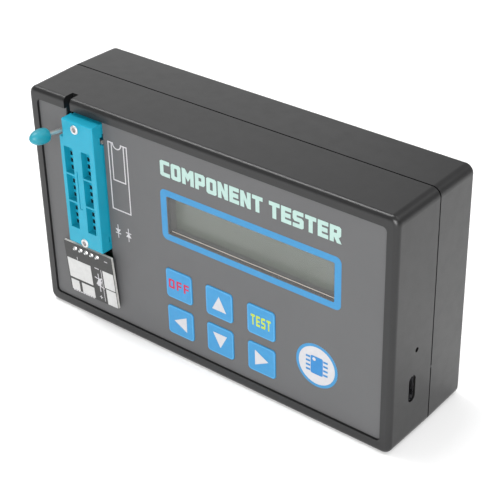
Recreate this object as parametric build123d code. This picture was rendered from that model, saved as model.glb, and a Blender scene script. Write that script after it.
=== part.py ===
from build123d import *
import math
import os

# Hand-held component tester: a two-part black case with a printed front
# panel, a character display, six keys, a zero-insertion-force test socket with
# a lever, and a small board of bare test pads.
#
# Everything is first drawn in panel coordinates, in millimetres: x to the
# right, y from the front rim plane into the case, z up from the middle of the
# case. put() then moves it to the object's own frame: the origin is the middle
# of the bottom side on which the case stands, +Z up, the panel facing -Y.

# ---------------------------------------------------------------- dimensions
CASE_W = 144.0            # width
CASE_H = 82.5             # height, standing on its long side
CASE_D = 39.9             # depth, front rim to back
PARTING_Y = 20.9          # middle of the groove between the two covers
GROOVE = 0.5              # width of that groove
DRAFT_FRONT = 0.266       # how much each side draws in at the front rim
DRAFT_REAR = 0.292        # and at the back
CORNER_R = 3.0            # corners seen from the front
EDGE_R = 1.7              # rounding round the front rim and the back
WALL = 2.3                # wall thickness of the covers
FLOOR_Y0, FLOOR_Y1 = 1.3, 3.3    # the panel wall under the printed film

REC_X, REC_Z0, REC_Z1, REC_R = 68.1, -37.2, 37.1, 1.5   # recess for the film
FILM_Y0 = 0.8             # outer face of the film

WIN_X0, WIN_X1, WIN_Z0, WIN_Z1 = -13.95, 50.35, 5.25, 18.8   # display window

KEY = 10.9                # key width
KEY_R = 1.3
KEY_GAP = 0.1             # running gap round a key
KEY_TRAVEL = 0.3
KEYS = {
    "off": (-10.4, -13.1), "up": (6.3, -13.1), "test": (23.05, -13.1),
    "left": (-10.4, -27.2), "down": (6.3, -27.2), "right": (23.05, -27.2),
}

ZX0, ZX1 = -55.2, -40.1   # test socket body
ZZ0, ZZ1 = -10.0, 35.9
ZFACE = -3.6              # its face stands out of the panel
ZCX = -47.75              # middle between the contact rows
ZROW = 7.62               # row spacing
ZPITCH = 2.54             # contact spacing
ZMID = 11.15              # middle of the contact rows
SLIDE = 0.8               # travel of the socket's sliding cover
LEV_X = -54.15            # plane in which the lever arm turns
LEV_Y, LEV_Z = 2.0, 30.5  # lever axis
LEV_TILT = 8.06           # the open lever leans up from the panel's normal
LEV_TURN = 80.0           # turn from open to closed
WIRE_R = 0.65
CRANK_E = 1.5             # throw of the cranked end
CRANK_A = -43.0           # crank direction when open, from the panel's normal

MB_Y0, MB_Y1 = 12.5, 14.1        # main board
MB_X0, MB_X1, MB_Z = -66.0, 69.2, 30.5

PB_W, PB_H, PB_T = 22.1, 20.5, 0.8      # test-pad board
PB_C = (-48.38, -1.66, -21.89)          # middle of its outer face
PB_TILT = 3.5                           # top edge leans out
PB_ROLL = 1.0                           # and it sits a little askew

USB_Y, USB_Z = 10.9, -22.2
HOLE_Y, HOLE_Z = 12.56, -8.93

CASE_SCREWS = [(-64.0, -34.6), (64.0, -34.6), (-64.0, 34.6), (64.0, 34.6)]
BOARD_SCREWS = [(-61.5, -25.5), (57.5, -26.8), (-61.5, 25.0), (63.0, 26.0)]


# ------------------------------------------------------------------- helpers
def block(x0, x1, y0, y1, z0, z1):
    return Pos((x0 + x1) / 2, (y0 + y1) / 2, (z0 + z1) / 2) * Box(x1 - x0, y1 - y0, z1 - z0)


def rod_y(x, z, y0, y1, r):
    return Pos(x, (y0 + y1) / 2, z) * Rot(90, 0, 0) * Cylinder(r, y1 - y0)


def rod_x(y, z, x0, x1, r):
    return Pos((x0 + x1) / 2, y, z) * Rot(0, 90, 0) * Cylinder(r, x1 - x0)


def section(y, x0, x1, z0, z1, r):
    pl = Plane(origin=((x0 + x1) / 2, y, (z0 + z1) / 2), x_dir=(1, 0, 0), z_dir=(0, 1, 0))
    return pl * RectangleRounded(x1 - x0, z1 - z0, r)


def slab(x0, x1, z0, z1, y0, y1, r):
    return extrude(section(y0, x0, x1, z0, z1, r), amount=y1 - y0)


def drafted(y0, a0, y1, a1, r):
    """A block with flat sides that draw in by a0 at y0 and by a1 at y1, all but the lower one, which stays level."""
    p, q = [[(-W2 + a, y, -H2), (W2 - a, y, -H2), (W2 - a, y, H2 - a), (-W2 + a, y, H2 - a)]
            for y, a in ((y0, a0), (y1, a1))]
    sides = [[p[i], p[(i + 1) % 4], q[(i + 1) % 4], q[i]] for i in range(4)]
    s = Solid(Shell([Face(Wire.make_polygon(c)) for c in [p, q] + sides]))
    return fillet([e for e in s.edges() if abs(e.tangent_at(0.5).Y) > 0.9], r)


def frame_ring(x0, x1, z0, z1, y0, y1, r, t):
    return slab(x0 - t, x1 + t, z0 - t, z1 + t, y0, y1, r + t) - \
        slab(x0, x1, z0, z1, y0 - 1, y1 + 1, r)


def put(name, *solids):
    moved = [Pos(0, -CASE_D / 2, CASE_H / 2) * s for s in solids]
    flat = []
    for m in moved:
        flat += list(m.solids())
    shape = flat[0] if len(flat) == 1 else Compound(children=flat)
    shape.label = name
    export_step(shape, "parts/" + name + ".step")


W2, H2 = CASE_W / 2, CASE_H / 2

# --------------------------------------------------------------- front cover
shell = drafted(0, DRAFT_FRONT, PARTING_Y - GROOVE / 2, 0, CORNER_R)
front = fillet(shell.faces().sort_by(Axis.Y)[0].edges(), EDGE_R)
IN_X, IN_Z = W2 - WALL, H2 - WALL
PY = PARTING_Y - GROOVE / 2
front -= slab(-IN_X, IN_X, -IN_Z, IN_Z, FLOOR_Y1, PY + 1, 1.0)
# step that takes the rear cover's lip
front -= slab(-W2 + 1.15, W2 - 1.15, -H2 + 1.15, H2 - 1.15, PY - 1.9, PY + 1, 1.9)
# recess for the printed film
front -= slab(-REC_X, REC_X, REC_Z0, REC_Z1, -1, FLOOR_Y0, REC_R)
# display window
front -= slab(WIN_X0, WIN_X1, WIN_Z0, WIN_Z1, 0, 5, 0.4)
# key openings
for kx, kz in KEYS.values():
    h = KEY / 2 + KEY_GAP
    front -= slab(kx - h, kx + h, kz - h, kz + h, 0, 5, KEY_R + KEY_GAP)
# opening for the test socket and, under it, for the pad board's header
front -= block(ZX0 - 0.4, ZX1 + 0.4, 0, 5, ZZ0 - 0.45, REC_Z1)
front -= block(ZX0 - 1.0, ZX1 + 0.4, 0, 5, -17.5, ZZ0)
# notch in the rim for the closed lever
front -= block(-55.5, -52.8, -1, 4.3, 34.0, H2 + 1)
# bosses for the case screws and for the main board
for bx, bz in CASE_SCREWS:
    front += rod_y(bx, bz, FLOOR_Y1 - 0.3, PY, 3.5)
    front += block(bx - 0.8, bx + 0.8, FLOOR_Y1 - 0.3, 17.5, min(bz, math.copysign(IN_Z + 0.3, bz)),
                   max(bz, math.copysign(IN_Z + 0.3, bz)))
for bx, bz in CASE_SCREWS:
    front -= rod_y(bx, bz, 8.0, PY + 1, 1.5)
for bx, bz in BOARD_SCREWS:
    front += rod_y(bx, bz, FLOOR_Y1 - 0.3, MB_Y0 - 0.02, 2.9)
    front -= rod_y(bx, bz, 5.5, MB_Y0 + 1, 1.2)
# keep the lip's path free of the bosses' edges
lip_zone = slab(-W2 + 1.15, W2 - 1.15, -H2 + 1.15, H2 - 1.15, PY - 1.9, PY + 1, 1.9) - \
    slab(-IN_X - 0.1, IN_X + 0.1, -IN_Z - 0.1, IN_Z + 0.1, PY - 3, PY + 2, 1.0)
front -= lip_zone
# charging port slot and indicator pinhole in the right-hand wall
usb_slot = extrude(Plane(origin=(W2 - 4, USB_Y, USB_Z), x_dir=(0, 0, 1), z_dir=(1, 0, 0)) *
                   SlotOverall(9.5, 3.5), amount=6)
front -= usb_slot
front -= rod_x(HOLE_Y, HOLE_Z, W2 - 4, W2 + 2, 0.8)
put("front_cover", front)

# ---------------------------------------------------------------- rear cover
RY = PARTING_Y + GROOVE / 2
shell = drafted(RY, 0, CASE_D, DRAFT_REAR, CORNER_R)
rear = fillet(shell.faces().sort_by(Axis.Y)[-1].edges(), EDGE_R)
rear -= slab(-IN_X, IN_X, -IN_Z, IN_Z, RY - 1, CASE_D - WALL, 1.0)
rear += slab(-W2 + 1.25, W2 - 1.25, -H2 + 1.25, H2 - 1.25, PY - 1.8, RY + 0.6, 1.8) - \
    slab(-IN_X, IN_X, -IN_Z, IN_Z, 0, CASE_D, 1.0)
for bx, bz in CASE_SCREWS:
    rear += rod_y(bx, bz, PY + 0.15, CASE_D - 1.0, 4.0) & \
        slab(-IN_X - 0.2, IN_X + 0.2, -IN_Z - 0.2, IN_Z + 0.2, PY + 0.15, CASE_D, 1.0)
for bx, bz in CASE_SCREWS:
    rear -= rod_y(bx, bz, 0, CASE_D + 1, 1.6)
    rear -= rod_y(bx, bz, 27.2, CASE_D + 1, 3.1)
# a moulding nub in the groove
rear += block(W2 - 1.4, W2 - 0.02, PY + 0.1, RY + 0.1, -20.2, -19.4)
put("rear_cover", rear)

# --------------------------------------------------------------- case screws
screws = []
for bx, bz in CASE_SCREWS:
    s = rod_y(bx, bz, 13.2, 27.4, 1.45)
    head = rod_y(bx, bz, 27.2, 29.4, 2.8)
    head = fillet(head.edges().sort_by(Axis.Y)[-1], 0.8)
    s = s + head
    for a in (0, 90):
        s -= Pos(bx, 29.0, bz) * Rot(0, a, 0) * Box(3.0, 1.6, 0.6)
    screws.append(s)
put("case_screws", *screws)

# --------------------------------------------------------------- panel film
film = slab(-REC_X + 0.1, REC_X - 0.1, REC_Z0 + 0.1, REC_Z1 - 0.1, FILM_Y0, FLOOR_Y0, REC_R - 0.1)
film -= slab(WIN_X0, WIN_X1, WIN_Z0, WIN_Z1, 0, 5, 0.4)
for kx, kz in KEYS.values():
    h = KEY / 2 + KEY_GAP
    film -= slab(kx - h, kx + h, kz - h, kz + h, 0, 5, KEY_R + KEY_GAP)
film -= block(ZX0 - 0.4, ZX1 + 0.4, 0, 5, ZZ0 - 0.45, REC_Z1 + 1)
film -= block(ZX0 - 1.0, ZX1 + 0.4, 0, 5, -17.5, ZZ0)
put("panel_film", film)
g = 0.02
put("film_window", slab(WIN_X0 + g, WIN_X1 - g, WIN_Z0 + g, WIN_Z1 - g, FILM_Y0, FLOOR_Y0, 0.38))

# ---------------------------------------------------------------------- keys
SW_BODY_Y = 9.0           # front face of a switch body
for name, (kx, kz) in KEYS.items():
    h = KEY / 2
    cap = slab(kx - h, kx + h, kz - h, kz + h, 0.5, 3.45, KEY_R)
    cap = fillet(cap.faces().sort_by(Axis.Y)[0].edges(), 0.22)
    cap += slab(kx - h - 0.6, kx + h + 0.6, kz - h - 0.6, kz + h + 0.6, 3.4, 4.3, KEY_R + 0.6)
    cap -= slab(kx - h + 1.1, kx + h - 1.1, kz - h + 1.1, kz + h - 1.1, 1.9, 5.0, 0.6)
    cap += rod_y(kx, kz, 1.8, 8.2, 2.0)
    put("key_" + name, cap)
    pl = rod_y(kx, kz, 8.2, 10.0, 1.7)
    pl = chamfer(pl.edges().sort_by(Axis.Y)[0], 0.2)
    put("plunger_" + name, pl)
bodies = []
for kx, kz in KEYS.values():
    b = block(kx - 3, kx + 3, SW_BODY_Y, MB_Y0, kz - 3, kz + 3)
    b = chamfer(b.edges().filter_by(Axis.Y), 0.4)
    b -= rod_y(kx, kz, SW_BODY_Y - 1, 10.5, 1.78)
    bodies.append(b)
put("switch_bodies", *bodies)

# ------------------------------------------------------------------- display
CX, CZ = (WIN_X0 + WIN_X1) / 2, (WIN_Z0 + WIN_Z1) / 2
bx0, bx1, bz0, bz1 = CX - 35.65, CX + 35.65, CZ - 12.25, CZ + 12.25
bezel = slab(bx0, bx1, bz0, bz1, 4.3, 8.95, 1.0)
bezel -= slab(bx0 + 0.5, bx1 - 0.5, bz0 + 0.5, bz1 - 0.5, 4.7, 10, 0.6)
# a thin raised rim that stands into the case's window
RIM_G, RIM_T = 0.06, 0.2
bezel += slab(WIN_X0 + RIM_G, WIN_X1 - RIM_G, WIN_Z0 + RIM_G, WIN_Z1 - RIM_G, 2.5, 4.4, 0.35)
bezel -= slab(WIN_X0 + RIM_G + RIM_T, WIN_X1 - RIM_G - RIM_T, WIN_Z0 + RIM_G + RIM_T, WIN_Z1 - RIM_G - RIM_T, 2, 5, 0.2)
put("display_bezel", bezel)
put("display_glass", slab(bx0 + 0.6, bx1 - 0.6, bz0 + 0.6, bz1 - 0.6, 4.72, 6.7, 0.8))
put("display_backlight", slab(bx0 + 0.6, bx1 - 0.6, bz0 + 0.6, bz1 - 0.6, 6.75, 8.95, 0.8))
HDR_Z = CZ + 15.6
hdr_x = [CX - 19.05 + 2.54 * i for i in range(16)]
db = block(CX - 40, CX + 40, 9.0, 10.6, CZ - 18, CZ + 18)
for sx in (-37.5, 37.5):
    for sz in (-15.5, 15.5):
        db -= rod_y(CX + sx, CZ + sz, 8, 12, 1.25)
for x in hdr_x:
    db -= rod_y(x, HDR_Z, 8, 12, 0.5)
put("display_board", db)
hdr = block(hdr_x[0] - 1.27, hdr_x[-1] + 1.27, 10.62, 12.48, HDR_Z - 1.25, HDR_Z + 1.25)
for x in hdr_x:
    hdr += block(x - 0.3, x + 0.3, 8.2, 15.0, HDR_Z - 0.3, HDR_Z + 0.3)
put("display_header", hdr)

# ---------------------------------------------------------------- main board
mb = block(MB_X0, MB_X1, MB_Y0, MB_Y1, -MB_Z, MB_Z)
for bx, bz in BOARD_SCREWS:
    mb -= rod_y(bx, bz, 12, 15, 1.4)
for x in hdr_x:
    mb -= rod_y(x, HDR_Z, 12, 15, 0.5)
put("main_board", mb)
bs = []
for bx, bz in BOARD_SCREWS:
    s = rod_y(bx, bz, 6.5, MB_Y1 + 0.2, 1.15)
    hd = rod_y(bx, bz, MB_Y1, MB_Y1 + 1.6, 2.3)
    hd = fillet(hd.edges().sort_by(Axis.Y)[-1], 0.6)
    s = s + hd
    for a in (0, 90):
        s -= Pos(bx, MB_Y1 + 1.5, bz) * Rot(0, a, 0) * Box(2.4, 1.2, 0.5)
    bs.append(s)
put("board_screws", *bs)


def chip(cx, cz, w, h, t, leads, pitch):
    c = block(cx - w / 2, cx + w / 2, MB_Y1 + 0.1, MB_Y1 + t, cz - h / 2, cz + h / 2)
    c = chamfer(c.faces().sort_by(Axis.Y)[-1].edges(), 0.15)
    for i in range(leads):
        z = cz + (i - (leads - 1) / 2) * pitch
        c += block(cx - w / 2 - 0.9, cx + w / 2 + 0.9, MB_Y1, MB_Y1 + 0.3, z - 0.12, z + 0.12)
    return c


put("microcontroller", chip(-14.0, -8.0, 9.0, 12.0, 1.4, 14, 0.8))
put("pin_driver", chip(-30.0, 12.0, 7.5, 15.4, 2.3, 12, 1.27))
put("charger_chip", chip(52.0, -16.0, 4.0, 5.0, 1.5, 4, 1.27))
small = []
for i, (sx, sz) in enumerate([(-40, -6), (-40, -10), (-40, -14), (-36, -6), (-36, -10), (-36, -14), (0, -22), (4, -22),
                              (8, -22), (12, -22), (44, -8), (48, -8), (60, -12), (60, -6), (-24, -20), (-20, -20)]):
    small.append(block(sx - 1.0, sx + 1.0, MB_Y1, MB_Y1 + 0.65, sz - 0.62, sz + 0.62))
put("chip_resistors", *small)
ind = block(38, 44, MB_Y1, MB_Y1 + 2.8, -25, -19)
ind = chamfer(ind.edges().filter_by(Axis.Y), 1.2)
put("boost_inductor", ind)
caps = []
for sx, sz in ((24.0, -24.0), (32.0, -24.0)):
    c = block(sx - 2.6, sx + 2.6, MB_Y1, MB_Y1 + 0.7, sz - 2.6, sz + 2.6)
    c += rod_y(sx, sz, MB_Y1 + 0.6, MB_Y1 + 5.4, 2.5)
    caps.append(c)
put("capacitors", *caps)
put("status_led", block(67.2, 68.9, MB_Y0 - 0.75, MB_Y0, HOLE_Z - 0.8, HOLE_Z + 0.8))

# ------------------------------------------------------------- charging port
UX0, UX1 = 64.0, 71.3
usb_pl = Plane(origin=(UX0, USB_Y, USB_Z), x_dir=(0, 0, 1), z_dir=(1, 0, 0))
ush = extrude(usb_pl * SlotOverall(8.94, 3.2), amount=UX1 - UX0)
ush -= extrude(Plane(origin=(UX0 + 0.3, USB_Y, USB_Z), x_dir=(0, 0, 1), z_dir=(1, 0, 0)) *
               SlotOverall(8.34, 2.6), amount=10)
put("usb_shell", ush)
tongue = block(UX0 + 0.3, UX0 + 1.9, USB_Y - 1.2, USB_Y + 1.2, USB_Z - 2.9, USB_Z + 2.9)
tongue += block(UX0 + 0.3, UX1 - 0.7, USB_Y - 0.35, USB_Y + 0.35, USB_Z - 3.3, USB_Z + 3.3)
put("usb_tongue", tongue)

# ------------------------------------------------------------------- battery
put("battery_tape", block(-2, 42, CASE_D - WALL - 0.3, CASE_D - WALL, -14, 14))
bat = slab(-10, 50, -18, 18, 28.8, CASE_D - WALL - 0.3, 2.0)
bat = fillet(bat.edges().filter_by(GeomType.LINE).filter_by(Axis.X), 1.2)
put("battery_cell", bat)
bsx, bsz = -30.0, -2.0
sock = block(bsx - 2.9, bsx + 2.9, MB_Y1, MB_Y1 + 4.4, bsz - 3.75, bsz + 3.75)
sock -= block(bsx - 2.1, bsx + 2.1, MB_Y1 + 1.0, MB_Y1 + 5, bsz - 2.95, bsz + 2.95)
put("battery_socket", sock)
put("battery_plug", block(bsx - 2.0, bsx + 2.0, MB_Y1 + 1.1, MB_Y1 + 7.4, bsz - 2.85, bsz + 2.85))
leads = []
for dz in (-1.0, 1.0):
    z = bsz + dz
    path = FilletPolyline((-10.0, 32.0, z), (-19.0, 31.8, z), (bsx, 28.6, z), (bsx, MB_Y1 + 7.4, z), radius=[12.0, 3.6])
    a, b = path @ 0, path % 0
    leads.append(sweep(Plane(origin=a, z_dir=b) * Circle(0.65), path=path))
put("battery_leads", *leads)

# -------------------------------------------------------------- test socket
cols = (ZCX - ZROW / 2, ZCX + ZROW / 2)
pins = [ZMID + ZPITCH * (i - 5.5) for i in range(12)]
BASE_Y0, BASE_Y1, BANK_Y = 0.75, 8.0, -1.2
base = block(ZX0, ZX1, BASE_Y0, BASE_Y1, ZZ0, ZZ1)
base += block(ZX0 + 1.1, ZX1 - 1.1, BANK_Y, BASE_Y0 + 0.2, -6.5, 26.4)
for cx in cols:
    for pz in pins:
        base -= block(cx - 1.75, cx + 1.2, BANK_Y - 1, BASE_Y1 + 1, pz - 0.75, pz + 0.75)
# room for the lever's arm, its bearing, and the cranked end
base -= block(ZX0 - 1, -52.6, BASE_Y0 - 0.1, 3.6, 29.2, ZZ1 + 1)
base -= rod_x(LEV_Y, LEV_Z, -52.7, -51.3, WIRE_R + 0.05)
base -= block(-52.7, -51.3, BASE_Y0 - 0.1, LEV_Y, LEV_Z - WIRE_R - 0.05, LEV_Z + WIRE_R + 0.05)
base -= block(-51.6, ZX1 + 1, BASE_Y0 - 0.1, 2.95, 28.3, 32.35)
RIV = (-8.5, 33.3)
for rz in RIV:
    base -= rod_y(ZCX, rz, 0, 9, 1.05)
    base -= rod_y(ZCX, rz + SLIDE, 0, 9, 1.05)
    base -= block(ZCX - 1.05, ZCX + 1.05, 0, 9, rz, rz + SLIDE)
put("socket_base", base)

# sliding cover with its six windows
COV_Y1 = 0.65
cov = block(ZX0, ZX1, ZFACE, COV_Y1, ZZ0, ZZ1)
cov = chamfer(cov.faces().sort_by(Axis.Y)[0].edges(), 0.3)
cov -= block(ZX0 - 1, -53.3, ZFACE - 1, COV_Y1 + 1, 29.2, ZZ1 + 1)
cov -= block(ZX0 + 0.9, ZX1 - 0.9, BANK_Y - 0.1, COV_Y1 + 1, -7.45, 26.6)
WIN_H, WIN_P = 9.55, 10.16
for cx in cols:
    for k in (-1, 0, 1):
        zc = ZMID + k * WIN_P
        cov -= block(cx - 1.9, cx + 1.9, ZFACE - 1, 0, zc - WIN_H / 2, zc + WIN_H / 2)
# fine moulded groove on the web between the rows
cov -= block(-48.6, -48.25, ZFACE - 1, ZFACE + 0.3, 4.2, 18.2)
cov -= block(-48.6, -47.2, ZFACE - 1, ZFACE + 0.3, 4.2, 4.55)
# slot in which the crank turns and pushes
cov -= block(-51.8, ZX1 + 1, -0.3, COV_Y1 + 1, 28.7, 31.4)
for rz in RIV:
    cov -= rod_y(ZCX, rz, ZFACE - 1, 2, 0.97)
# relief notch near the lower end, on the right
cov -= block(ZX1 - 0.8, ZX1 + 1, 0.0, COV_Y1 + 1, -7.3, -5.1)
put("socket_cover", cov)

# contacts: a blade in each cavity with a pin down to the strip below
for side, cx in zip(("left", "right"), cols):
    cs = []
    for pz in pins:
        c = block(cx - 1.6, cx + 0.5, -0.6, 3.2, pz + 0.4, pz + 0.75)
        tip = Pos(cx - 0.55, -0.5, pz + 0.45) * Rot(35, 0, 0) * Box(2.1, 0.9, 0.25)
        tip = tip & block(cx - 1.6, cx + 0.5, -1.0, 1, pz - 0.3, pz + 0.75)
        c += tip
        c += block(cx - 0.25, cx + 0.25, 3.0, 11.6, pz + 0.25, pz + 0.75)
        cs.append(c)
    put("socket_contacts_" + side, *cs)
strips = []
for cx in cols:
    s = block(cx - 1.25, cx + 1.25, BASE_Y1, MB_Y0, ZMID - 15.4, ZMID + 15.4)
    for pz in pins:
        s -= block(cx - 0.45, cx + 0.45, BASE_Y1 - 1, 12.0, pz + 0.05, pz + 0.95)
    strips.append(s)
put("socket_strips", *strips)

# eyelets that hold the cover down; they ride in slots in the base
ey = []
for rz in RIV:
    e = rod_y(ZCX, rz, ZFACE - 0.05, BASE_Y1 + 0.1, 0.95)
    hd = rod_y(ZCX, rz, ZFACE - 0.4, ZFACE, 1.55)
    hd = fillet(hd.edges().sort_by(Axis.Y)[0], 0.25)
    e += hd
    e += rod_y(ZCX, rz, BASE_Y1 + 0.05, BASE_Y1 + 0.4, 1.55)
    e -= Pos(ZCX, ZFACE - 0.4, rz) * Sphere(0.85) & rod_y(ZCX, rz, ZFACE - 1, ZFACE - 0.12, 0.85)
    ey.append(e)
put("socket_eyelets", *ey)

# lever: one bent steel wire with an arm, a journal and a cranked end
t = math.radians(LEV_TILT)
ad = (0.0, -math.cos(t), math.sin(t))
K0 = 11.9                 # where the knob begins along the arm
ca = math.radians(CRANK_A)
crank = (LEV_Y - CRANK_E * math.cos(ca), LEV_Z + CRANK_E * math.sin(ca))
pts = [
    (LEV_X, LEV_Y + ad[1] * (K0 + 4.2), LEV_Z + ad[2] * (K0 + 4.2)),
    (LEV_X, LEV_Y, LEV_Z),
    (-51.0, LEV_Y, LEV_Z),
    (-49.5, crank[0], crank[1]),
    (ZX1 + 0.15, crank[0], crank[1]),
]
path = FilletPolyline(*pts, radius=[1.15, 1.2, 1.2])
wire = sweep(Plane(origin=path @ 0, z_dir=path % 0) * Circle(WIRE_R), path=path)
put("lever_wire", wire)

# egg-shaped knob, turned about the arm
KC, KR = K0 + 2.1, 2.6    # widest place along the arm, and the radius there
kp = Plane(origin=(LEV_X, LEV_Y, LEV_Z), x_dir=ad, z_dir=(1, 0, 0))
egg = (Pos(KC, 0) * Ellipse(4.7, KR) & Pos(KC + 3.0, 2.0) * Rectangle(6.0, 4.0)) + \
    (Pos(KC, 0) * Ellipse(4.2, KR) & Pos(KC - 1.05, 2.0) * Rectangle(2.1, 4.0))
knob = revolve(kp * egg, axis=Axis((LEV_X, LEV_Y, LEV_Z), ad), revolution_arc=360)
knob = fillet(knob.edges().filter_by(GeomType.CIRCLE).sort_by(SortBy.RADIUS)[0], 0.45)
bore = Plane(origin=(LEV_X, LEV_Y + ad[1] * (K0 - 1), LEV_Z + ad[2] * (K0 - 1)), z_dir=ad) * Circle(WIRE_R + 0.01)
knob -= extrude(bore, amount=5.25)
put("lever_knob", knob)

# ------------------------------------------------------------ test-pad board
# Local frame of the board: x across, y into the case, z up; origin at the
# middle of the outer face.
tilt = math.radians(PB_TILT)
PBL = Location(PB_C) * Location((0, 0, 0), (0, -PB_ROLL, 0)) * Location((0, 0, 0), (PB_TILT, 0, 0))
pin_u = [-5.9 + 2.54 * i for i in range(5)]
PIN_V = 8.4
pb = block(-PB_W / 2, PB_W / 2, 0, PB_T, -PB_H / 2, PB_H / 2)
pb = chamfer(pb.edges().filter_by(Axis.Y), 0.25)
for u in pin_u:
    pb -= rod_y(u, PIN_V, -1, 3, 0.5)
put("pad_board", PBL * pb)
FOIL = 0.08
pads = [(-10.6, 0.25, -4.5, 3.45), (-10.5, -6.7, -9.65, -5.45), (-5.45, 0.45, -9.65, -5.45),
        (5.9, 10.75, -3.3, 3.6), (6.35, 10.8, -10.0, -3.75)]
put("test_pads", *[PBL * block(a, b, -FOIL, 0, c, d) for a, b, c, d in pads])
ph = block(pin_u[0] - 1.27, pin_u[-1] + 1.27, PB_T, PB_T + 2.5, PIN_V - 1.25, PIN_V + 1.25)
ph = chamfer(ph.edges().filter_by(Axis.Y), 0.25)
for u in pin_u:
    ph -= block(u - 0.33, u + 0.33, -2, 5, PIN_V - 0.33, PIN_V + 0.33)
put("pad_header", PBL * ph)
pp = []
for u in pin_u:
    p = block(u - 0.32, u + 0.32, -0.75, 9.2, PIN_V - 0.32, PIN_V + 0.32)
    cone = Pos(u, -0.2, PIN_V) * Rot(90, 0, 0) * Cone(0.75, 0.40, 0.4)
    p += cone
    pp.append(PBL * p)
put("pad_pins", *pp)
fz = PB_C[2] + PIN_V * math.cos(tilt) + 6.0 * math.sin(tilt)
fs = block(-56.3, -42.1, 4.0, MB_Y0, fz - 1.3, fz + 1.3)
for u in pin_u:
    cx = PB_C[0] + u
    fs -= block(cx - 0.75, cx + 0.75, 3.5, 11.0, fz - 0.8, fz + 0.8)
put("pad_header_socket", fs)
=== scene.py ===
import bpy
import bmesh
import math
from mathutils import Matrix, Vector


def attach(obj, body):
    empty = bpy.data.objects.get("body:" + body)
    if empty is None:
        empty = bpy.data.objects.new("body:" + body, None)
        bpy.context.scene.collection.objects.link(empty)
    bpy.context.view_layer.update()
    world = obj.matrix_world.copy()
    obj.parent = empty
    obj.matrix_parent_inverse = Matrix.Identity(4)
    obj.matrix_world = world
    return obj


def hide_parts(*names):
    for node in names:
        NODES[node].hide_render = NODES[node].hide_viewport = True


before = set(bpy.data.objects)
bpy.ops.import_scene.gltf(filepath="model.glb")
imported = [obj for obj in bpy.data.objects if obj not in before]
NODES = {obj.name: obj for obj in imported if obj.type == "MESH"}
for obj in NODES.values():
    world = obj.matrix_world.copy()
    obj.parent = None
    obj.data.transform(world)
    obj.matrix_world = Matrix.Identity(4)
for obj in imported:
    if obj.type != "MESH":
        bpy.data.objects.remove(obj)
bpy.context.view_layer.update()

# ------------------------------------------------------------------ the frame
# Panel coordinates, in millimetres, as the design uses them: x to the right,
# y from the front rim plane into the case, z up from the middle of the case.
CASE_H, CASE_D = 82.5, 39.9


def P(x, y, z):
    return Vector((x / 1000.0, (y - CASE_D / 2) / 1000.0, (z + CASE_H / 2) / 1000.0))


FILM = 0.8          # outer face of the panel film
KEYTOP = 0.5        # outer face of the keys
INK = 0.03          # thickness of a print

# ------------------------------------------------------------------ materials


class Mat:
    """A small builder for node materials."""

    def __init__(self, name):
        self.m = bpy.data.materials.new(name)
        self.m.use_nodes = True
        self.nt = self.m.node_tree
        self.nt.nodes.clear()
        self.out = self.nt.nodes.new("ShaderNodeOutputMaterial")
        self.b = self.nt.nodes.new("ShaderNodeBsdfPrincipled")
        self.nt.links.new(self.b.outputs[0], self.out.inputs[0])
        self.tc = self.nt.nodes.new("ShaderNodeTexCoord")

    def set(self, **kw):
        for k, v in kw.items():
            s = self.b.inputs[k.replace("_", " ")]
            s.default_value = (*v, 1.0) if isinstance(v, (tuple, list)) and len(v) == 3 and s.type == "RGBA" else v
        return self

    def node(self, kind, **kw):
        n = self.nt.nodes.new(kind)
        for k, v in kw.items():
            setattr(n, k, v)
        return n

    def link(self, a, b):
        self.nt.links.new(a, b)

    def noise(self, scale, detail=3.0, rough=0.55, stretch=(1, 1, 1)):
        mp = self.node("ShaderNodeMapping")
        mp.inputs["Scale"].default_value = stretch
        self.link(self.tc.outputs["Object"], mp.inputs["Vector"])
        n = self.node("ShaderNodeTexNoise")
        n.inputs["Scale"].default_value = scale
        n.inputs["Detail"].default_value = detail
        n.inputs["Roughness"].default_value = rough
        self.link(mp.outputs[0], n.inputs["Vector"])
        return n.outputs["Fac"]

    def ramp(self, fac, stops):
        r = self.node("ShaderNodeValToRGB")
        el = r.color_ramp.elements
        while len(el) < len(stops):
            el.new(0.5)
        for e, (p, c) in zip(el, stops):
            e.position = p
            e.color = (*c, 1.0) if len(c) == 3 else c
        self.link(fac, r.inputs[0])
        return r.outputs["Color"]

    def vary(self, fac, lo, hi):
        r = self.node("ShaderNodeMapRange")
        r.inputs["From Min"].default_value = 0.3
        r.inputs["From Max"].default_value = 0.7
        r.inputs["To Min"].default_value = lo
        r.inputs["To Max"].default_value = hi
        self.link(fac, r.inputs["Value"])
        return r.outputs["Result"]

    def bump(self, fac, strength, distance, under=None):
        b = self.node("ShaderNodeBump")
        b.inputs["Strength"].default_value = strength
        b.inputs["Distance"].default_value = distance
        self.link(fac, b.inputs["Height"])
        if under is not None:
            self.link(under, b.inputs["Normal"])
        return b.outputs["Normal"]

    def base(self, sock):
        self.link(sock, self.b.inputs["Base Color"])
        return self

    def rough(self, sock):
        self.link(sock, self.b.inputs["Roughness"])
        return self

    def normal(self, sock):
        self.link(sock, self.b.inputs["Normal"])
        return self


def shade(c, k):
    return tuple(min(1.0, v * k) for v in c)


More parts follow.
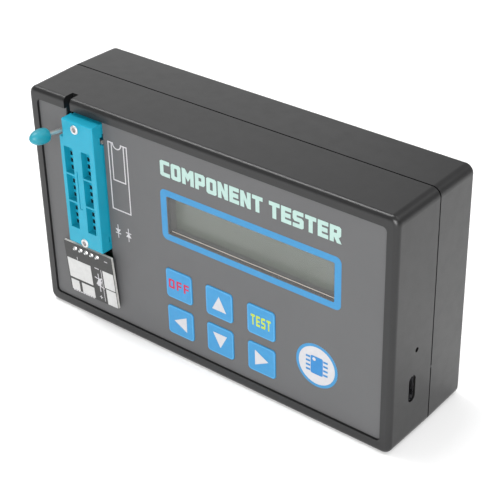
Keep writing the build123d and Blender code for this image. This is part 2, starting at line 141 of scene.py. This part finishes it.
def moulded(name, col, rough=(0.42, 0.52), grain=3200.0, depth=0.00002, strength=0.35, spec=0.5, mott=0.06,
            coat=0.0, cloud=60.0):
    """Injection-moulded plastic: spark-eroded grain, faint clouding, uneven gloss."""
    m = Mat(name)
    m.set(**{"Specular_IOR_Level": spec, "IOR": 1.49, "Coat_Weight": coat, "Coat_Roughness": 0.2})
    fine = m.noise(grain, 2.0, 0.6)
    soft = m.noise(cloud, 4.0, 0.6)
    m.base(m.ramp(soft, [(0.3, shade(col, 1 - mott)), (0.7, shade(col, 1 + mott))]))
    m.rough(m.vary(m.noise(cloud * 4, 3.0, 0.6), rough[0], rough[1]))
    m.normal(m.bump(fine, strength, depth))
    return m.m


def ink(name, col, rough=0.5, mott=0.04):
    """Screen print: slightly uneven cover and a fine stipple."""
    m = Mat(name)
    m.set(**{"Specular_IOR_Level": 0.4})
    n = m.noise(900.0, 3.0, 0.6)
    m.base(m.ramp(n, [(0.3, shade(col, 1 - mott)), (0.7, shade(col, 1 + mott))]))
    m.rough(m.vary(m.noise(300.0, 2.0), rough - 0.05, rough + 0.06))
    m.normal(m.bump(m.noise(5000.0, 2.0), 0.15, 0.00001))
    return m.m


def metal(name, col, rough=(0.22, 0.36), scratch=(1, 1, 1), scale=1500.0, strength=0.25, mott=0.07, metallic=1.0):
    m = Mat(name)
    m.set(Metallic=metallic)
    n = m.noise(scale, 3.0, 0.6, scratch)
    m.base(m.ramp(n, [(0.3, shade(col, 1 - mott)), (0.7, shade(col, 1 + mott))]))
    m.rough(m.vary(m.noise(scale * 0.4, 3.0, 0.6, scratch), rough[0], rough[1]))
    m.normal(m.bump(n, strength, 0.00001))
    return m.m


M = {}
M["case_black"] = moulded("case_black_abs", (0.008, 0.008, 0.0083), rough=(0.30, 0.37), grain=2600.0, depth=0.00003,
                          strength=0.30, mott=0.08, spec=0.43)
M["case_shade"] = moulded("case_black_recess", (0.0025, 0.0025, 0.0026), rough=(0.58, 0.66), grain=2600.0, depth=0.00003,
                          strength=0.30, mott=0.08, spec=0.18)
M["socket_blue"] = moulded("socket_blue_plastic", (0.004, 0.238, 0.345), rough=(0.36, 0.46), grain=1800.0,
                           depth=0.00002, strength=0.2, mott=0.05, cloud=150.0, spec=0.38)
# painted shade: a near-black blue for the socket's inner cavity walls, standing in for the shade deep inside them
M["socket_cavity"] = moulded("socket_cavity_painted_shade", (0.004, 0.022, 0.032), rough=(0.50, 0.60), grain=1800.0, cloud=150.0)
M["knob"] = moulded("knob_turquoise_plastic", (0.004, 0.195, 0.255), rough=(0.38, 0.50), grain=2500.0,
                    depth=0.00003, strength=0.3, mott=0.08, cloud=260.0)
M["black_plastic"] = moulded("black_connector_plastic", (0.018, 0.018, 0.019), rough=(0.40, 0.52), grain=2500.0, cloud=200.0)
M["white_plastic"] = moulded("white_connector_plastic", (0.75, 0.73, 0.68), rough=(0.40, 0.52), cloud=200.0)
M["film"] = moulded("panel_film_grey", (0.081, 0.081, 0.083), rough=(0.50, 0.58), grain=4200.0, depth=0.000015,
                    strength=0.30, spec=0.38, mott=0.025, cloud=40.0)
M["key"] = ink("key_print_blue", (0.026, 0.192, 0.385), rough=0.48)
M["ink_blue"] = ink("frame_print_blue", (0.026, 0.178, 0.360), rough=0.5)
# painted highlight: a lighter blue ring round each key, standing for light on the keys' raised edges
M["rim_highlight"] = ink("key_rim_painted_highlight", (0.055, 0.250, 0.470), rough=0.5)
M["ink_mint"] = ink("title_print_mint", (0.31, 0.435, 0.40), rough=0.55)
M["ink_white"] = ink("sign_print_white", (0.41, 0.405, 0.42), rough=0.55)
M["ink_grey"] = ink("outline_print_white", (0.40, 0.39, 0.40), rough=0.55)
M["ink_red"] = ink("key_print_red", (0.36, 0.010, 0.050), rough=0.5)
M["ink_green"] = ink("key_print_green", (0.36, 0.44, 0.015), rough=0.5)
M["ink_cobalt"] = ink("emblem_print_blue", (0.015, 0.150, 0.360), rough=0.5)
M["tin"] = metal("tinned_pads", (0.50, 0.50, 0.495), rough=(0.45, 0.60), scale=900.0, strength=0.5, mott=0.05, metallic=0.6)
M["solder"] = metal("solder", (0.70, 0.70, 0.70), rough=(0.28, 0.42), scale=1600.0, strength=0.4)
M["steel"] = metal("drawn_steel", (0.50, 0.49, 0.47), rough=(0.24, 0.36), scratch=(1, 0.08, 0.08), scale=2200.0, metallic=0.75)
M["nickel"] = metal("eyelet_nickel", (0.62, 0.61, 0.61), rough=(0.32, 0.44), scale=1500.0)
# painted shade: darker nickel in the eyelets' hollow centres, where shade falls
M["nickel_shade"] = metal("eyelet_dimple_painted_shade", (0.30, 0.28, 0.29), rough=(0.40, 0.52), scale=1500.0)
# tin, darkened as painted shade so the contacts read dark inside the socket's pockets
M["contact"] = metal("contact_tin", (0.30, 0.30, 0.29), rough=(0.35, 0.50), scale=1700.0)
M["port_steel"] = metal("port_shell_steel", (0.32, 0.32, 0.34), rough=(0.24, 0.38), scale=1700.0)
M["screw_black"] = metal("screw_black_zinc", (0.055, 0.055, 0.06), rough=(0.30, 0.45), metallic=0.9)
M["bezel"] = metal("bezel_black_paint", (0.030, 0.030, 0.030), rough=(0.35, 0.48), metallic=0.0)
# painted highlight: a bright strip on the bezel's lower front edge only, standing for the light line that edge catches
# from above
M["bezel_edge"] = metal("bezel_edge_painted_highlight", (0.95, 0.84, 0.72), rough=(0.40, 0.50), metallic=0.4)
M["foil"] = metal("battery_foil", (0.60, 0.61, 0.63), rough=(0.30, 0.45), scale=400.0, strength=0.6)
M["pcb_green"] = moulded("solder_mask_green", (0.010, 0.085, 0.035), rough=(0.22, 0.34), grain=1200.0, mott=0.12, cloud=300.0)
M["pcb_black"] = moulded("solder_mask_black", (0.012, 0.0118, 0.0115), rough=(0.36, 0.48), grain=1500.0, mott=0.06, cloud=400.0)
M["pcb_edge"] = moulded("board_edge_glassfibre", (0.42, 0.42, 0.40), rough=(0.55, 0.70), grain=2600.0, depth=0.00005,
                        strength=0.5, mott=0.10, cloud=900.0)
M["rubber_red"] = moulded("lead_insulation", (0.45, 0.02, 0.02), rough=(0.40, 0.5), cloud=200.0)
M["foam"] = moulded("foam_tape", (0.62, 0.61, 0.58), rough=(0.8, 0.95), grain=900.0, depth=0.0001, strength=0.8)

# display: glass over a grey-green polariser with a faint dot field
g = Mat("display_glass_greygreen")
g.set(**{"Specular_IOR_Level": 0.5, "IOR": 1.5})
g.base(g.ramp(g.noise(420.0, 2.0, 0.5), [(0.3, (0.046, 0.057, 0.043)), (0.7, (0.050, 0.062, 0.047))]))
g.rough(g.vary(g.noise(650.0, 2.0), 0.28, 0.32))
M["glass"] = g.m

# clear polyester window in the panel film: faintly hazy, with a soft gloss
cw = Mat("clear_window")
cw.set(**{"Specular_IOR_Level": 0.5, "IOR": 1.5, "Alpha": 0.055})
cw.base(cw.ramp(cw.noise(60.0, 3.0), [(0.3, (0.62, 0.62, 0.61)), (0.7, (0.68, 0.68, 0.67))]))
cw.rough(cw.vary(cw.noise(200.0, 2.0), 0.18, 0.26))
M["clear"] = cw.m

# indicator lamp: clear resin
lm = Mat("lamp_resin")
lm.set(**{"Transmission_Weight": 0.6, "IOR": 1.5})
lm.base(lm.ramp(lm.noise(900.0), [(0.3, (0.80, 0.78, 0.60)), (0.7, (0.88, 0.86, 0.70))]))
lm.rough(lm.vary(lm.noise(500.0), 0.12, 0.22))
M["lamp"] = lm.m

NODE_MAT = {
    "front_cover": "case_black", "rear_cover": "case_black", "case_screws": "screw_black", "panel_film": "film",
    "display_bezel": "bezel", "film_window": "clear", "display_glass": "glass", "display_backlight": "white_plastic",
    "display_board": "pcb_green", "display_header": "black_plastic", "main_board": "pcb_green",
    "board_screws": "steel", "microcontroller": "black_plastic", "pin_driver": "black_plastic",
    "charger_chip": "black_plastic", "chip_resistors": "black_plastic", "boost_inductor": "black_plastic",
    "capacitors": "nickel", "status_led": "lamp", "usb_shell": "port_steel", "usb_tongue": "black_plastic",
    "battery_tape": "foam", "battery_cell": "foil", "battery_socket": "white_plastic", "battery_plug": "white_plastic",
    "battery_leads": "rubber_red", "switch_bodies": "black_plastic", "socket_base": "socket_blue",
    "socket_contacts_left": "contact", "socket_contacts_right": "contact", "socket_strips": "black_plastic",
    "pad_board": "pcb_black", "test_pads": "tin", "pad_header": "black_plastic", "pad_pins": "solder",
    "pad_header_socket": "black_plastic", "socket_cover": "socket_blue", "socket_eyelets": "nickel",
    "lever_wire": "steel", "lever_knob": "knob",
}
for name, ob in NODES.items():
    key = NODE_MAT.get(name) or ("key" if name.startswith("key_") else "black_plastic")
    ob.data.materials.clear()
    ob.data.materials.append(M[key])

# ---------------------------------------------------------------- flat prints
FACE = Matrix(((1, 0, 0, 0), (0, 0, -1, 0), (0, 1, 0, 0), (0, 0, 0, 1)))   # drawing plane to the panel plane


def flat(name, loops, y_face, mat, body="root", place=None, thick=INK, holes=True):
    """A thin closed solid from closed loops given in panel x and z. It stands proud of y_face by its thickness."""
    cu = bpy.data.curves.new(name + "_c", "CURVE")
    cu.dimensions = "2D"
    cu.fill_mode = "BOTH"
    cu.extrude = thick / 2000.0
    for lp in loops:
        s = cu.splines.new("POLY")
        s.points.add(len(lp) - 1)
        for p, (u, v) in zip(s.points, lp):
            p.co = (u / 1000.0, v / 1000.0, 0, 1)
        s.use_cyclic_u = True
    return flat_done(name, cu, y_face, mat, body, place, thick)


def flat_done(name, cu, y_face, mat, body, place, thick):
    tmp = bpy.data.objects.new(name + "_t", cu)
    bpy.context.scene.collection.objects.link(tmp)
    bpy.context.view_layer.update()
    me = bpy.data.meshes.new_from_object(tmp.evaluated_get(bpy.context.evaluated_depsgraph_get()))
    bpy.data.objects.remove(tmp)
    bpy.data.curves.remove(cu)
    me.name = name
    if place is None:
        place = Matrix.Translation(P(0, y_face - thick / 2, 0)) @ FACE
    me.transform(place)
    bm = bmesh.new()
    bm.from_mesh(me)
    bmesh.ops.remove_doubles(bm, verts=bm.verts, dist=1e-7)
    bmesh.ops.dissolve_degenerate(bm, edges=bm.edges, dist=1e-8)
    bmesh.ops.recalc_face_normals(bm, faces=bm.faces)
    bm.to_mesh(me)
    bm.free()
    me.materials.clear()
    me.materials.append(M[mat])
    ob = bpy.data.objects.new(name, me)
    bpy.context.scene.collection.objects.link(ob)
    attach(ob, body)
    return ob


def rrect(x0, x1, z0, z1, r, n=8):
    pts = []
    for cx, cz, a0 in ((x1 - r, z1 - r, 0), (x0 + r, z1 - r, 90), (x0 + r, z0 + r, 180), (x1 - r, z0 + r, 270)):
        for i in range(n + 1):
            a = math.radians(a0 + 90.0 * i / n)
            pts.append((cx + r * math.cos(a), cz + r * math.sin(a)))
    return pts


def ring(cx, cz, r, n=72):
    return [(cx + r * math.cos(2 * math.pi * i / n), cz + r * math.sin(2 * math.pi * i / n)) for i in range(n)]


def rect(x0, x1, z0, z1):
    return [(x0, z0), (x1, z0), (x1, z1), (x0, z1)]


# blue frame round the display window
flat("print_display_frame", [rrect(-16.4, 52.75, 2.95, 21.1, 2.0), rrect(-13.97, 50.37, 5.23, 18.82, 0.42)], FILM, "ink_blue")

# title in plain block letters
GLYPH = {
    "C": (7.0, [[(1, 0), (7, 0), (7, 2), (2.5, 2), (2, 2.5), (2, 7.5), (2.5, 8), (7, 8), (7, 10), (1, 10), (0, 9), (0, 1)]]),
    "O": (7.0, [[(1, 0), (6, 0), (7, 1), (7, 9), (6, 10), (1, 10), (0, 9), (0, 1)],
                [(2.5, 2), (2, 2.5), (2, 7.5), (2.5, 8), (4.5, 8), (5, 7.5), (5, 2.5), (4.5, 2)]]),
    "M": (8.6, [[(0, 0), (2, 0), (2, 6.2), (4.3, 3.0), (6.6, 6.2), (6.6, 0), (8.6, 0), (8.6, 10), (6.6, 10), (4.3, 6.5), (2, 10), (0, 10)]]),
    "P": (7.0, [[(0, 0), (2, 0), (2, 3.2), (6, 3.2), (7, 4.2), (7, 9), (6, 10), (0, 10)],
                [(2, 5.1), (2, 8.1), (4.5, 8.1), (5, 7.6), (5, 5.6), (4.5, 5.1)]]),
    "N": (7.0, [[(0, 0), (2, 0), (2, 5.8), (5.1, 0), (7, 0), (7, 10), (5, 10), (5, 4.2), (1.9, 10), (0, 10)]]),
    "E": (6.5, [[(0, 0), (6.5, 0), (6.5, 2), (2, 2), (2, 4.1), (6, 4.1), (6, 5.9), (2, 5.9), (2, 8), (6.5, 8), (6.5, 10), (0, 10)]]),
    "T": (7.0, [[(2.5, 0), (4.5, 0), (4.5, 8), (7, 8), (7, 10), (0, 10), (0, 8), (2.5, 8)]]),
    "S": (7.0, [[(0, 0), (6, 0), (7, 1), (7, 4.9), (6, 5.9), (2, 5.9), (2, 8), (6.8, 8), (6.8, 10), (1, 10), (0, 9), (0, 5.1),
                 (1, 4.1), (5, 4.1), (5, 2), (0, 2)]]),
    "R": (7.0, [[(0, 0), (2, 0), (2, 3.4), (3.0, 3.4), (4.9, 0), (7.1, 0), (5.1, 3.6), (6.2, 4.0), (7, 4.9), (7, 9), (6, 10), (0, 10)],
                [(2, 5.3), (2, 8.1), (4.5, 8.1), (5, 7.6), (5, 5.8), (4.5, 5.3)]]),
    "F": (6.3, [[(0, 0), (2, 0), (2, 4.1), (5.8, 4.1), (5.8, 5.9), (2, 5.9), (2, 8), (6.3, 8), (6.3, 10), (0, 10)]]),
}


def fatten(lp, d, hole):
    """Move a loop's sides outward by d (inward for a hole's loop), so that its strokes grow."""
    area2 = sum(lp[i - 1][0] * lp[i][1] - lp[i][0] * lp[i - 1][1] for i in range(len(lp)))
    k = d * (1 if area2 > 0 else -1) * (-1 if hole else 1)
    res = []
    for i, (x, z) in enumerate(lp):
        a, b = lp[i - 1], lp[(i + 1) % len(lp)]
        d1, d2 = Vector((x - a[0], z - a[1])).normalized(), Vector((b[0] - x, b[1] - z)).normalized()
        n1, n2 = Vector((d1.y, -d1.x)), Vector((d2.y, -d2.x))
        m = (n1 + n2) / max(1.0 + n1.dot(n2), 0.25)
        res.append((x + m.x * k, z + m.y * k))
    return res


def lettering(text, x0, x1, z0, z1, gap=1.7, space=3.6, bold=0.0):
    """Closed loops of the text, filling the width x0..x1 and height z0..z1."""
    total = sum(space if c == " " else GLYPH[c][0] + gap for c in text) - gap
    kx, kz = (x1 - x0) / total, (z1 - z0) / 10.0
    loops, u = [], 0.0
    for c in text:
        if c == " ":
            u += space
            continue
        w, gl = GLYPH[c]
        for i, lp in enumerate(gl):
            if bold:
                lp = [(a, min(max(b, 0.0), 10.0)) for a, b in fatten(lp, bold, i > 0)]
            loops.append([(x0 + (u + a) * kx, z0 + b * kz) for a, b in lp])
        u += w + gap
    return loops


flat("print_title", lettering("COMPONENT TESTER", -15.6, 52.2, 25.75, 31.2, gap=1.9, bold=0.42), FILM, "ink_mint")


# chip outline beside the socket: how a part lies in it
def line(points, w, closed=False):
    """Outline of a mitred line of width w through points, as one loop (two if closed)."""
    n = len(points)
    L, R = [], []
    for i, (x, z) in enumerate(points):
        if closed:
            a, b = points[i - 1], points[(i + 1) % n]
        else:
            a, b = points[max(i - 1, 0)], points[min(i + 1, n - 1)]
        d1 = Vector((x - a[0], z - a[1]))
        d2 = Vector((b[0] - x, b[1] - z))
        if d1.length < 1e-9:
            d1 = d2
        if d2.length < 1e-9:
            d2 = d1
        d1.normalize()
        d2.normalize()
        n1, n2 = Vector((-d1.y, d1.x)), Vector((-d2.y, d2.x))
        m = n1 + n2
        m = m / max(m.length_squared, 1e-6) * 2
        if m.length > 3:
            m = m.normalized() * 3
        L.append((x + m.x * w / 2, z + m.y * w / 2))
        R.append((x - m.x * w / 2, z - m.y * w / 2))
    if closed:
        return [L, R]
    return [L + R[::-1]]


notch = [(-34.0 + 1.75 * math.cos(math.radians(a)), 30.6 + 1.75 * math.sin(math.radians(a))) for a in range(180, 361, 15)]
out = [(-37.7, 30.6)] + notch + [(-29.85, 30.6), (-29.85, 6.5), (-37.7, 6.5)]
flat("print_chip_outline", line(out, 0.42, closed=True), FILM, "ink_grey")
flat("print_chip_inner", line([(-36.3, 30.35), (-36.3, 17.4), (-31.15, 17.4), (-31.15, 30.35)], 0.42), FILM, "ink_grey")


def diode(cx, cz, s, up, name, mat="ink_white", y=FILM, body="root", place=None, thick=INK):
    """Diode sign: a filled triangle, a bar and two leads, as one outline."""
    k = 1 if up else -1
    o = [(-0.14, -2.5), (0.14, -2.5), (0.14, -0.85), (1.15, -0.85), (0.14, 0.55), (1.15, 0.55), (1.15, 0.9), (0.14, 0.9),
         (0.14, 2.5), (-0.14, 2.5), (-0.14, 0.9), (-1.15, 0.9), (-1.15, 0.55), (-0.14, 0.55), (-1.15, -0.85), (-0.14, -0.85)]
    lp = [(cx + a * s, cz + b * s * k) for a, b in o]
    return flat(name, [lp], y, mat, body, place, thick)


# the socket base with its cavity walls in the near-black blue, painted shade where the cavities lie deep in shadow
src = NODES["socket_base"]
me = src.data.copy()
me.name = "socket_base_cavities"
me.materials.clear()
me.materials.append(M["socket_blue"])
me.materials.append(M["socket_cavity"])
lo, hi = P(-54.0, -1.15, -6.4), P(-41.3, 7.9, 26.3)
for p in me.polygons:
    c = p.center
    p.material_index = 1 if lo.x < c.x < hi.x and lo.y < c.y < hi.y and lo.z < c.z < hi.z else 0
ob = bpy.data.objects.new("socket_base_cavities", me)
bpy.context.scene.collection.objects.link(ob)
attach(ob, "root")
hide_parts("socket_base")

# a darker, duller black inside the covers' parting groove, charging slot and pinhole, chosen for the look of deep shade
for node in ("front_cover", "rear_cover"):
    me = NODES[node].data.copy()
    me.name = node + "_two_tone"
    me.materials.clear()
    me.materials.append(M["case_black"])
    me.materials.append(M["case_shade"])
    for p in me.polygons:
        x, y, z = p.center.x * 1000.0, p.center.y * 1000.0 + CASE_D / 2, p.center.z * 1000.0 - CASE_H / 2
        groove = 17.5 < y < 23.0 and (abs(p.normal.y) > 0.9 or (abs(x) < 71.6 and abs(z) < 40.95))
        slot = 68.0 < x < 71.95 and abs(p.normal.x) < 0.6 and abs(y - 10.9) < 1.9 and abs(z + 22.2) < 5.0
        hole = 60.0 < x < 71.95 and abs(p.normal.x) < 0.6 and math.hypot(y - 12.56, z + 8.93) < 0.9
        p.material_index = 1 if groove or slot or hole else 0
    ob = bpy.data.objects.new(node + "_two_tone", me)
    bpy.context.scene.collection.objects.link(ob)
    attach(ob, "root")
    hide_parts(node)

# the eyelets with their hollow centres in darker nickel, painted shade
src = NODES["socket_eyelets"]
me = src.data.copy()
me.name = "socket_eyelets_shaded_dimples"
me.materials.clear()
me.materials.append(M["nickel"])
me.materials.append(M["nickel_shade"])
for p in me.polygons:
    c = p.center
    near = min(math.hypot(c.x - P(-47.75, 0, 0).x, c.z - P(0, 0, z).z) for z in (-8.5, 33.3))
    p.material_index = 1 if near < 0.00080 and c.y < P(0, -3.65, 0).y else 0
ob = bpy.data.objects.new("socket_eyelets_shaded_dimples", me)
bpy.context.scene.collection.objects.link(ob)
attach(ob, "socket_slider")
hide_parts("socket_eyelets")

# the bezel with a bright strip along its lower front edge, a painted highlight
src = NODES["display_bezel"]
me = src.data.copy()
me.name = "display_bezel_lit_edge"
me.materials.clear()
me.materials.append(M["bezel"])
me.materials.append(M["bezel_edge"])
yr, zr = P(0, 2.5, 0).y, P(0, 0, 5.6).z
for p in me.polygons:
    p.material_index = 1 if all(
        abs(me.vertices[v].co.y - yr) < 1e-5 and me.vertices[v].co.z < zr for v in p.vertices) else 0
ob = bpy.data.objects.new("display_bezel_lit_edge", me)
bpy.context.scene.collection.objects.link(ob)
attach(ob, "root")
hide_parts("display_bezel")

diode(-36.2, -1.75, 1.0, False, "print_diode_down")
diode(-31.6, -1.75, 1.0, True, "print_diode_up")

# ----------------------------------------------------------------------- keys
KEYS = {
    "off": (-10.4, -13.1), "up": (6.3, -13.1), "test": (23.05, -13.1),
    "left": (-10.4, -27.2), "down": (6.3, -27.2), "right": (23.05, -27.2),
}
ANG = {"up": 90, "down": 270, "left": 180, "right": 0}
for k, (kx, kz) in KEYS.items():
    body = "body_key_" + k
    h = 10.9 / 2 - 0.24
    # a lighter blue ring at each key's edge: painted highlight for light on the raised edge
    flat("painted_highlight_key_rim_" + k, [rrect(kx - h, kx + h, kz - h, kz + h, 1.1), rrect(kx - h + 0.3, kx + h - 0.3, kz - h + 0.3, kz + h - 0.3, 0.85)],
         KEYTOP, "rim_highlight", body, thick=0.02)
    if k in ANG:
        a = math.radians(ANG[k])
        tri = [(2.75, 0.0), (-2.55, 2.85), (-2.55, -2.85)]
        lp = [(kx + u * math.cos(a) - v * math.sin(a), kz + u * math.sin(a) + v * math.cos(a)) for u, v in tri]
        flat("print_arrow_" + k, [lp], KEYTOP, "ink_white", body)
    elif k == "off":
        flat("print_word_off", lettering("OFF", kx - 4.3, kx + 4.3, kz - 1.75, kz + 1.75, gap=2.2), KEYTOP, "ink_red", body)
    else:
        flat("print_word_test", lettering("TEST", kx - 3.9, kx + 3.9, kz - 1.95, kz + 1.95, gap=2.2), KEYTOP, "ink_green", body)

# --------------------------------------------------------------------- emblem
EX, EZ = 44.25, -20.2
flat("print_emblem_disc", [ring(EX, EZ, 7.75)], FILM, "ink_white", thick=0.02)
flat("print_emblem_ring", [ring(EX, EZ, 7.75), ring(EX, EZ, 6.75)], FILM - 0.02, "ink_blue", thick=0.02)
chip = rrect(EX - 2.3, EX + 2.3, EZ - 3.3, EZ + 3.3, 0.6)
flat("print_emblem_chip", [chip, ring(EX - 1.0, EZ + 2.1, 0.62, 24)], FILM - 0.02, "ink_cobalt", thick=0.02)
legs = []
for i in range(4):
    z = EZ - 2.4 + 1.6 * i
    legs.append(rect(EX - 4.1, EX - 2.45, z - 0.36, z + 0.36))
    legs.append(rect(EX + 2.45, EX + 4.1, z - 0.36, z + 0.36))
flat("print_emblem_legs", legs, FILM - 0.02, "ink_cobalt", thick=0.02)

# ------------------------------------------------------------- test-pad board
PBM = Matrix.Translation(P(-48.38, -1.66, -21.89)) @ Matrix.Rotation(math.radians(-1.0), 4, "Y") @ \
    Matrix.Rotation(math.radians(3.5), 4, "X")


def on_board(thick):
    return PBM @ Matrix.Translation((0, -thick / 2000.0, 0)) @ FACE


src = NODES["pad_board"]
me = src.data.copy()
me.name = "pad_board_two_tone"
me.materials.clear()
me.materials.append(M["pcb_black"])
me.materials.append(M["pcb_edge"])
nrm = (PBM.to_3x3() @ Vector((0, 1, 0))).normalized()
for p in me.polygons:
    p.material_index = 1 if abs(p.normal.dot(nrm)) < 0.7 and (p.center - PBM.translation).length > 0.0095 else 0
ob = bpy.data.objects.new("pad_board_two_tone", me)
bpy.context.scene.collection.objects.link(ob)
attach(ob, "root")
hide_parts("pad_board")

sign = [(3.25, 1.5), (3.25, -0.55), (1.7, -0.15), (1.6, -0.55), (3.2, -0.95), (1.9, -3.3), (2.55, -3.2), (2.5, -3.65), (3.35, -3.6),
        (3.35, -5.9), (3.75, -5.9), (3.75, -3.75), (5.6, -4.25), (5.7, -3.85), (4.05, -3.35), (4.75, -1.35), (4.2, -1.35),
        (4.9, -0.35), (4.8, -0.0), (3.6, -0.5), (3.6, 1.5)]
flat("print_pad_sign", [sign], 0, "ink_white", place=on_board(0.02), thick=0.02)
flat("print_pad_minus", [rect(2.2, 4.2, 3.3, 3.65)], 0, "ink_white", place=on_board(0.02), thick=0.02)
flat("print_pad_plus", [[(3.2, -8.9), (3.5, -8.9), (3.5, -8.35), (4.05, -8.35), (4.05, -8.05), (3.5, -8.05), (3.5, -7.5), (3.2, -7.5),
                         (3.2, -8.05), (2.65, -8.05), (2.65, -8.35), (3.2, -8.35)]], 0, "ink_white", place=on_board(0.02), thick=0.02)
flat("print_pad_marks", [rect(-5.9, -5.6, 3.75, 4.9), rect(7.4, 8.9, 7.7, 8.0), *[rect(-10.2 + 1.15 * i, -9.3 + 1.15 * i, -10.2, -9.75) for i in range(9)],
                         rect(4.95, 5.2, -9.4, 3.6)], 0, "ink_grey", place=on_board(0.02), thick=0.02)

# ---------------------------------------------------------------------- stage
floor_m = Mat("floor_white")
floor_m.set(**{"Specular_IOR_Level": 0.2})
floor_m.base(floor_m.ramp(floor_m.noise(3.0, 2.0), [(0.3, (0.95, 0.95, 0.95)), (0.7, (0.96, 0.96, 0.96))]))
floor_m.b.inputs["Roughness"].default_value = 0.7
me = bpy.data.meshes.new("floor")
me.from_pydata([(-6, -6, 0), (6, -6, 0), (6, 6, 0), (-6, 6, 0)], [], [(0, 1, 2, 3)])
me.materials.append(floor_m.m)
floor = bpy.data.objects.new("floor", me)
bpy.context.scene.collection.objects.link(floor)


def area(name, loc, target, size, power, size_y=None, col=(1, 1, 1)):
    li = bpy.data.lights.new(name, "AREA")
    li.energy = power
    li.color = col
    li.size = size
    if size_y:
        li.shape = "RECTANGLE"
        li.size_y = size_y
    ob = bpy.data.objects.new(name, li)
    bpy.context.scene.collection.objects.link(ob)
    d = Vector(target) - Vector(loc)
    ob.matrix_world = Matrix.Translation(loc) @ d.to_track_quat("-Z", "Y").to_matrix().to_4x4()
    return ob


# a broad box beside the camera, one overhead to the left, one behind to the left for the upper side's sheen
area("key_light", (0.62, -1.00, 0.50), (0, 0, 0.04), 0.75, 18.0)
area("top_light", (-0.42, -0.02, 1.05), (0, 0, 0.06), 0.34, 9.0, size_y=0.8)
area("fill_light", (0.70, 0.50, 1.15), (0.1, 0, 0.0), 1.0, 4.5)
area("back_light", (-0.95, 0.80, 0.60), (0, 0, 0.04), 0.95, 1.5)

w = bpy.data.worlds.new("studio")
bpy.context.scene.world = w
w.use_nodes = True
nt = w.node_tree
nt.nodes.clear()
wo = nt.nodes.new("ShaderNodeOutputWorld")
bg = nt.nodes.new("ShaderNodeBackground")
bg.inputs["Color"].default_value = (1.0, 1.0, 1.0, 1)
bg.inputs["Strength"].default_value = 0.52
nt.links.new(bg.outputs[0], wo.inputs[0])

bpy.context.scene.view_settings.view_transform = "Standard"
bpy.context.scene.view_settings.look = "None"

# --------------------------------------------------------------------- camera
cam = bpy.data.cameras.new("camera")
cam.sensor_width = 36.0
cam.lens = 100.29
cam.shift_x = -0.01173
cam.shift_y = 0.0036
cam.clip_start = 0.01
camo = bpy.data.objects.new("camera", cam)
bpy.context.scene.collection.objects.link(camo)
right = Vector((0.78113674, 0.62411603, -0.01745191))
up = Vector((-0.31686494, 0.42035936, 0.8502321))
back = Vector((0.53797955, -0.65861763, 0.52611863))
R = Matrix((right, up, back)).transposed()
camo.matrix_world = Matrix.Translation((0.24514, -0.29301, 0.27179)) @ R.to_4x4()
bpy.context.scene.camera = camo
